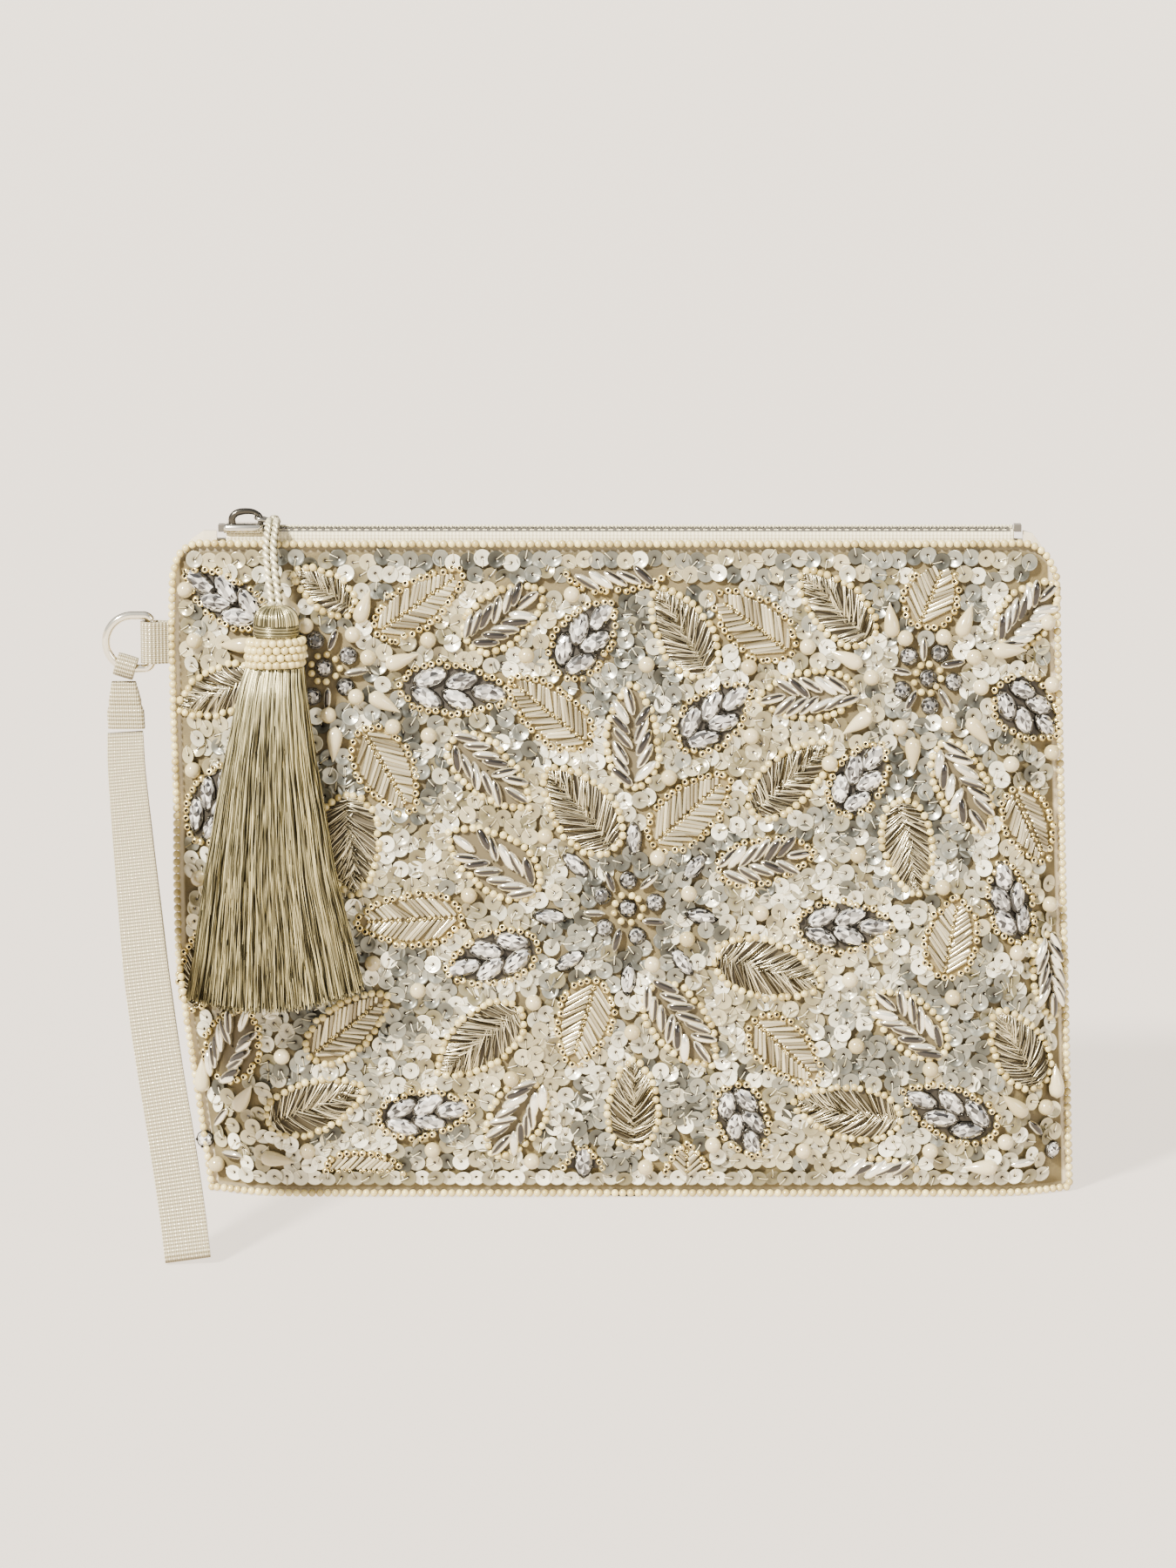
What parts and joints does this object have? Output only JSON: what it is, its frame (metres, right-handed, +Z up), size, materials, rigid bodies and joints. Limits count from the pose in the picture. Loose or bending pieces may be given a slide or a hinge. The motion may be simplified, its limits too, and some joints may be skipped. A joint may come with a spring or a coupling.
{
  "type": "beaded evening bag",
  "caption": "Flat zip-top evening pouch with a beaded and embroidered front, a satin back, a tassel on the zip puller and a wrist strap on a side ring.",
  "frame": {"origin": "on the floor under the middle of the base strip, at the middle of the bag's depth", "axes": "+Z up, the embroidered front faces -Y, +X to the right of someone who looks at the front"},
  "size_m": [0.2809, 0.1003, 0.2005],
  "materials": {
    "panel_satin": "cream satin",
    "lining_cloth": "smooth cream cloth",
    "beadwork": "embroidered sequins, pearls, beads and metal thread",
    "pearl_beads": "pearly cream",
    "set_stones": "clear cut stones in dark silver settings",
    "zip_cloth": "woven",
    "zip_metal": "polished",
    "dark_silver": "darkened",
    "tassel_thread": "champagne metallic thread",
    "webbing": "ribbed webbing with metallic thread",
    "ring_metal": "polished pale gold"
  },
  "bodies": {
    "bag": {"front_panel": "panel_satin", "back_panel": "panel_satin", "front_lining": "lining_cloth", "back_lining": "lining_cloth", "slip_pocket": "lining_cloth", "bead_field": "beadwork", "edge_beads": "pearl_beads", "crystal_leaf_01": "set_stones", "crystal_leaf_02": "set_stones", "crystal_leaf_03": "set_stones", "crystal_leaf_04": "set_stones", "crystal_leaf_05": "set_stones", "crystal_leaf_06": "set_stones", "crystal_leaf_07": "set_stones", "crystal_leaf_08": "set_stones", "crystal_leaf_09": "set_stones", "crystal_leaf_10": "set_stones", "crystal_leaf_11": "set_stones", "crystal_leaf_12": "set_stones", "crystal_leaf_13": "set_stones", "rosette_1": "set_stones", "rosette_2": "set_stones", "rosette_3": "set_stones", "front_zip_tape": "zip_cloth", "back_zip_tape": "zip_cloth", "front_zip_teeth": "zip_metal", "back_zip_teeth": "zip_metal", "zip_top_stop": "zip_metal", "zip_bottom_stop": "zip_metal", "left_zip_end": "panel_satin", "right_zip_end": "panel_satin", "side_tab": "webbing"},
    "slider": {"zip_slider": "zip_metal"},
    "puller": {"zip_puller": "dark_silver"},
    "tassel_cord": {"tassel_loop": "tassel_thread", "tassel_cord": "tassel_thread"},
    "tassel": {"tassel_head": "tassel_thread", "tassel_collar": "pearl_beads", "tassel_skirt": "tassel_thread"},
    "ring": {"d_ring": "ring_metal"},
    "strap_eye": {"strap_eye": "webbing"},
    "strap": {"strap_fold": "webbing", "wrist_strap": "webbing"}
  },
  "joints": [
    {"name": "zip_runs", "type": "slide", "parent": "bag", "child": "slider", "axis": [1, 0, 0], "range_m": [0, 0.205]},
    {"name": "puller_flips", "type": "hinge", "parent": "slider", "child": "puller", "pos_m": [-0.1062, 0, 0.1976], "axis": [0, -1, 0], "range_deg": [0, 60]},
    {"name": "loop_stays_plumb", "type": "hinge", "parent": "puller", "child": "tassel_cord", "pos_m": [-0.1015, 0, 0.1982], "axis": [0, -1, 0], "range_deg": [-60, 0]},
    {"name": "tassel_lifts", "type": "hinge", "parent": "tassel_cord", "child": "tassel", "pos_m": [-0.1015, -0.0184, 0.1745], "axis": [-1, 0, 0], "range_deg": [0, 40]},
    {"name": "ring_turns", "type": "hinge", "parent": "bag", "child": "ring", "pos_m": [-0.1365, 0, 0.1613], "axis": [0, 0, 1], "range_deg": [-60, 8]},
    {"name": "eye_slides_on_ring", "type": "hinge", "parent": "ring", "child": "strap_eye", "pos_m": [-0.1419, 0, 0.1613], "axis": [0, 1, 0], "range_deg": [0, 45]},
    {"name": "strap_swings", "type": "hinge", "parent": "strap_eye", "child": "strap", "pos_m": [-0.14403, 0, 0.15432], "axis": [-0.9563, 0, 0.2924], "range_deg": [-4, 70]}
  ],
  "couplings": [
    {"joint": "loop_stays_plumb", "follows": "puller_flips", "ratio": -1}
  ]
}
